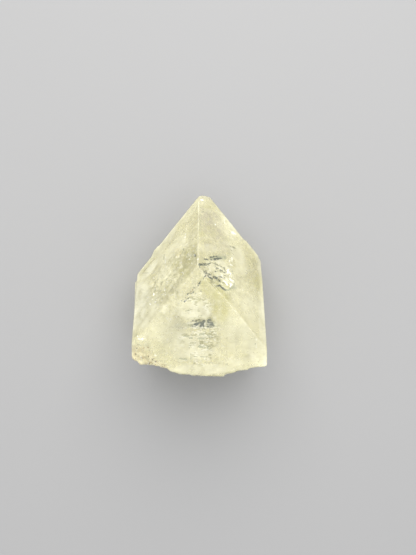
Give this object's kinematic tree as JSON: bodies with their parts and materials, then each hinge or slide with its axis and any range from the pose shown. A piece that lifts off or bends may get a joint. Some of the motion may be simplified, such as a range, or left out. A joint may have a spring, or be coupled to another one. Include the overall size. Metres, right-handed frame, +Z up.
{
  "type": "apophyllite pyramid",
  "caption": "Pale yellow apophyllite crystal: a square prism closed by a pyramid, with a stepped broken base, lying on a side face.",
  "frame": {"origin": "under the middle of the crystal's box, on the plane it rests on", "axes": "+Y along the long axis to the pyramid's tip, +X to the crystal's right seen from above, +Z up"},
  "size_m": [0.0252, 0.0344, 0.0243],
  "materials": {
    "crystal": "translucent pale yellow crystal with a glassy to pearly lustre, cloudy inside and worn along its edges"
  },
  "bodies": {
    "root": {"crystal": "crystal"}
  },
  "joints": []
}
